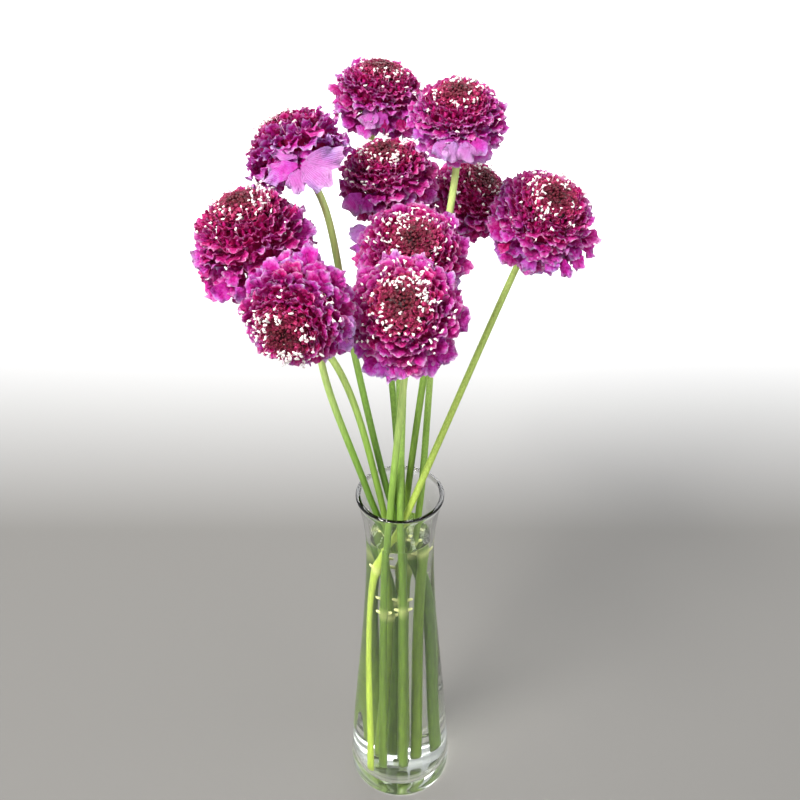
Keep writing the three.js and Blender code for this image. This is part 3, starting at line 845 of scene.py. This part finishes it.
# The green cup under a head, as (distance from the axis, height) from the stem's end, where the
# bracts round it root, and how wide they are, all as shares of the head's radius.
CUP = [(0, -0.2), (0.085, -0.2), (0.13, -0.16), (0.2, -0.1), (0.25, -0.04), (0.25, -0.012),
       (0, -0.012)]
BRACT_ROOT = (0.16, -0.13)
BRACT_WIDTH = 0.075
BRACTS = 10
BRACT_GRID = (7, 5)
BRACT_THICKNESS = 0.3


def stem_end(flower):
    """The top of a stem, in the middle of the underside of its head, and the way the head faces."""
    faces = unit(flower["faces"])
    drop = flower["radius"] * CORE_BOTTOM - SEAT_GAP
    return np.array(flower["head"], float) + faces * drop, faces


def stem_path(flower):
    top, faces = stem_end(flower)
    points = [(*flower["foot"], FOOT_HEIGHT), (*flower["waist"], WAIST_HEIGHT),
              (*flower["mouth"], VASE_HEIGHT)]
    if "bend" in flower:
        points.append(flower["bend"])
    points += [top - faces * NECK_LENGTH * flower["radius"], top - faces]
    return smooth_curve(points, STEM_ROWS)


def make_stalk(build, flower, random, lime):
    """The stem itself, lightly fluted and swollen at its node, with a pair of cut leaf bases."""
    path = stem_path(flower)
    top = stem_end(flower)[0]
    along = np.linspace(0, 1, len(path))
    knee = flower["stub"]
    swell = 1 + 0.34 * hump(along, knee, 0.012) + 0.12 * hump(along, 0.985, 0.01)
    taper = STEM_RADIUS * (1.04 - 0.1 * along)
    phase = random.uniform(0, 6)
    points, quads, caps, share = tube(
        path, taper * swell, STEM_SIDES, fluting=lambda a: 1 + 0.035 * np.cos(8 * a + phase))
    node = 0.5 * hump(share, knee, 0.006)
    mark = np.stack([points[:, 2] / top[2], node, 0 * share + lime], -1)
    build.add(points, quads, mark, caps)
    at = np.array([np.interp(knee, along, path[:, k]) for k in range(3)])
    for way in (-1, 1):
        out = way * (STUB_LENGTH + STEM_RADIUS - 0.9)
        tip = at + np.array([out, random.uniform(-0.4, 0.4), 1.3])
        line = [at - (0, 0, 0.6), 0.5 * (at + tip) - (0, 0, 0.1), tip, tip + (way * 0.25, 0, 0.25)]
        points, quads, caps, run = tube(line, STUB_RADII, 8)
        mark = np.stack([0 * run + at[2] / top[2], 0.3 + 0.7 * run, 0 * run + lime], -1)
        build.add(points, quads, mark, caps)


def make_cup(build, flower, random):
    """The green cup under the head, and a ring of pointed bracts round it."""
    r = flower["radius"]
    top = stem_end(flower)[0]
    turn = turn_to(flower["faces"])
    points, quads, caps = lathe([(a * r, b * r) for a, b in CUP], HEAD_SIDES)
    # The cup takes the pale head end of the stem colours, partly painted light.
    build.add(points @ turn.T + top, quads, (0.98, 0.0, 0.2), caps)
    azimuth = (np.arange(BRACTS) + random.uniform(-0.15, 0.15, BRACTS)) * 2 * math.pi / BRACTS
    rows, columns = BRACT_GRID
    v = np.linspace(0, 1, rows)[:, None]
    u = np.linspace(-1, 1, columns)[None, :]
    flat = np.broadcast_to(v, BRACT_GRID)
    share = np.concatenate([flat.ravel(), flat[1:-1, 1:-1].ravel()])
    # The bracts take the pale head end of the stem colours too, partly painted light.
    mark = np.stack([0 * share + 0.9, 0 * share, 0.2 + 0.2 * share], -1)
    for radial in polar(azimuth):
        beside = np.cross(UP, radial)
        long = r * random.uniform(0.24, 0.32)
        out = BRACT_ROOT[0] * r + long * v * 0.95
        rise = long * (0.42 * v + 0.12 * np.sin(3 * v)) * random.uniform(0.5, 0.9)
        rise = BRACT_ROOT[1] * r + rise
        wide = BRACT_WIDTH * r * np.sin(math.pi * (0.2 + 0.8 * v)) ** 0.8
        wide = wide * (1 - 0.3 * v) + 0.01 * r
        middle = (radial * out[..., None] + UP * (rise + 0.12 * wide * u ** 2)[..., None]
                  + beside * (wide * u)[..., None])
        under = middle[1:-1, 1:-1].reshape(-1, 3) - UP * BRACT_THICKNESS
        points = np.concatenate([middle.reshape(-1, 3), under]) @ turn.T + top
        build.add(points, sheet_faces(*BRACT_GRID), mark, rim=sheet_rim(*BRACT_GRID))


# -------------------------------- vase and water

VASE_SIDES = 96
BOWL_HEIGHT = 14
# The water runs this far into the glass, so that no air shows between them, and its edge climbs.
WATER_SINK = 0.12
WATER_CLIMB = 0.5


def smooth_profile(points, rounds=2):
    """Rounds a profile's corners by cutting them, with its ends kept."""
    for _ in range(rounds):
        out = [points[0]]
        for (r0, z0), (r1, z1) in zip(points, points[1:]):
            out.append((0.75 * r0 + 0.25 * r1, 0.75 * z0 + 0.25 * z1))
            out.append((0.25 * r0 + 0.75 * r1, 0.25 * z0 + 0.75 * z1))
        points = out + [points[-1]]
    return points


def inside_radius(height):
    radii, heights = zip(*VASE_OUTSIDE)
    return float(np.interp(height, heights, radii)) - WALL


def vase_profile():
    """The foot with a shallow hollow under it, the outside, the rounded lip and the bowl."""
    foot = [(0, 1.6), (FOOT_RADIUS - 9, 1.2), (FOOT_RADIUS - 4, 0), (FOOT_RADIUS, 0), (27.6, 1.4)]
    lip = [(20.6, 198.7), (20.6, 199.9), (19.4, VASE_HEIGHT), (18.3, 199.4)]
    inside = [(r - WALL, z) for r, z in reversed(VASE_OUTSIDE) if z > BOWL_HEIGHT]
    bowl = [(inside_radius(BOWL_HEIGHT), BOWL_HEIGHT), (inside_radius(12) - 2.2, 9.6),
            (inside_radius(9) - 8, 8.2), (0, FLOOR_HEIGHT)]
    return smooth_profile(foot + VASE_OUTSIDE + lip + inside + bowl)


def water_profile():
    low = FLOOR_HEIGHT - 0.1
    brim = inside_radius(WATER_LEVEL)
    bowl = [(inside_radius(9) - 8, FLOOR_HEIGHT), (inside_radius(12) - 2.1, 9.5)]
    levels = [BOWL_HEIGHT] + [z for _, z in VASE_OUTSIDE if BOWL_HEIGHT < z < WATER_LEVEL]
    side = [(inside_radius(z) + WATER_SINK, z) for z in levels]
    edge = [(inside_radius(WATER_LEVEL - 1.2) + WATER_SINK, WATER_LEVEL - 0.8),
            (brim + WATER_SINK, WATER_LEVEL + WATER_CLIMB),
            (brim - 1, WATER_LEVEL), (brim - 3, WATER_LEVEL - 0.2)]
    return [(0, low)] + smooth_profile(bowl + side + edge) + [(0, WATER_LEVEL - 0.2)]


def turned_object(name, profile):
    build = Build()
    points, quads, caps = lathe(profile, VASE_SIDES)
    build.add(points, quads, (0, 0, 0), caps)
    return build.object(name)


# -------------------------------- the pieces

# Each flower has random numbers of its own, from this seed on.
SEED = 500


def dress(obj, material, slot, *nodes):
    """Gives a piece its material and its body, and hides the nodes it stands for. Its slot is not
    used.
    """
    obj.data.materials.append(material)
    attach(obj, BODY)
    if nodes:
        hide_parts(*nodes)


def make_flower(number, flower):
    tag = f"{number:02d}"
    random = np.random.default_rng(SEED + number)
    turn, head = turn_to(flower["faces"]), flower["head"]
    florets, buds, anthers, stem = Build(), Build(), Build(), Build()
    make_receptacle(florets, flower)
    make_florets(florets, flower, random)
    if number in SHOWY:
        make_showy(florets, SHOWY[number], turn, random)
    make_closed_buds(buds, flower, random)
    make_open_buds(buds, flower, random)
    make_anthers(anthers, flower, random)
    make_stalk(stem, flower, random, lime=0.9 if number == LIME_FLOWER else 0.08 * (number % 3))
    make_cup(stem, flower, random)
    dress(florets.object(f"bloom_{tag}_florets", turn, head), petal_stuff, "floret_magenta",
          f"florets_{tag}")
    dress(buds.object(f"bloom_{tag}_buds", turn, head), bud_stuff, "bud_crimson", f"buds_{tag}")
    dress(anthers.object(f"bloom_{tag}_anthers", turn, head), anther_stuff, "anther_white")
    dress(stem.object(f"cut_stem_{tag}"), stem_stuff, "stem_green", f"stem_{tag}")


dress(turned_object("glass_vase", vase_profile()), glass_stuff, "vase_glass", "vase")
dress(turned_object("vase_water", water_profile()), water_stuff, "water", "water")
for number, flower in enumerate(FLOWERS, 1):
    make_flower(number, flower)

# -------------------------------- floor, light and camera

# The floor's colour by how far behind the vase it is, as a share of FLOOR_FADE metres. It grows
# whiter far behind, painted light that makes up for the lamps' falloff there.
FLOOR_FADE = 1.6
FLOOR_COLOURS = [(0.12, (0.16, 0.155, 0.145)), (0.5, (0.93, 0.93, 0.93))]
FLOOR_NEAR, FLOOR_FAR, FLOOR_HALF_WIDTH = -1800.0, 6000.0, 4000.0

# Each light: its place and what it points at in millimetres, its size in metres, its power in
# watts and its colour.
FLOWERS_MIDDLE = (0, 0, 250)
WHITE = (1, 1, 1)
LIGHTS = {
    "key": ((-500, -450, 1100), FLOWERS_MIDDLE, (0.4, 0.4), 18.5, (1, 0.985, 0.96)),
    "fill": ((900, -500, 700), FLOWERS_MIDDLE, (1.0, 0.9), 5, (0.95, 0.97, 1)),
    "back": ((300, 1000, 900), FLOWERS_MIDDLE, (1.2, 0.6), 7, WHITE),
    "front": ((-350, -1100, 250), FLOWERS_MIDDLE, (1.2, 0.8), 8, WHITE),
    "far_floor": ((0, 2600, 1500), (0, 2600, 0), (5.0, 2.5), 130, WHITE),
}


def make_stage():
    """A pale floor, grey under the vase and whiter far behind it, where the whiter colour is
    painted light against the lamps' falloff.
    """
    mesh = bpy.data.meshes.new("floor")
    points = [(x * MM, y * MM, 0) for y in (FLOOR_NEAR, FLOOR_FAR)
              for x in (-FLOOR_HALF_WIDTH, FLOOR_HALF_WIDTH)]
    mesh.from_pydata(points, [], [(0, 1, 3, 2)])
    g = Surface("pale_floor", Roughness=0.75, Specular_IOR_Level=0.2)
    back = g.math("MULTIPLY", g.split(g.place())[1], 1 / FLOOR_FADE)
    # Painted light: the floor is whiter the farther back it lies.
    g.colour(g.ramp(back, FLOOR_COLOURS))
    mesh.materials.append(g.owner)
    obj = bpy.data.objects.new("floor", mesh)
    bpy.context.scene.collection.objects.link(obj)


def area_light(name, place, target, size, power, colour):
    data = bpy.data.lights.new(name, "AREA")
    data.shape = "RECTANGLE"
    data.size, data.size_y = size
    data.energy = power
    data.color = colour
    obj = bpy.data.objects.new(name, data)
    obj.location = [c * MM for c in place]
    way = Vector([(b - a) * MM for a, b in zip(place, target)])
    obj.rotation_euler = way.to_track_quat("-Z", "Y").to_euler()
    bpy.context.scene.collection.objects.link(obj)


def make_world():
    """The room is brighter behind and above than in front, so the glass stays clear."""
    world = bpy.data.worlds.new("studio")
    bpy.context.scene.world = world
    g = Graph(world)
    _, behind, above = g.split(g.place("Generated"))
    facing = g.math("MULTIPLY_ADD", g.math("ADD", behind, above), 0.4, 0.5)
    background = g.nodes["Background"].inputs
    g.links.new(g.ramp(facing, [(0.1, (0.3, 0.31, 0.33)), (0.6, (0.93, 0.95, 1.0))]),
                background["Color"])
    background["Strength"].default_value = 0.7


def make_camera():
    camera = bpy.data.cameras.new("camera")
    camera.sensor_width = SENSOR
    camera.lens = LENS
    obj = bpy.data.objects.new("camera", camera)
    obj.location = [c * MM for c in CAMERA_PLACE]
    obj.rotation_euler = Euler((math.radians(90 - CAMERA_TILT), 0, 0))
    bpy.context.scene.collection.objects.link(obj)
    bpy.context.scene.camera = obj


make_stage()
for name, light in LIGHTS.items():
    area_light(name, *light)
make_world()
make_camera()
bpy.context.scene.view_settings.view_transform = "Standard"
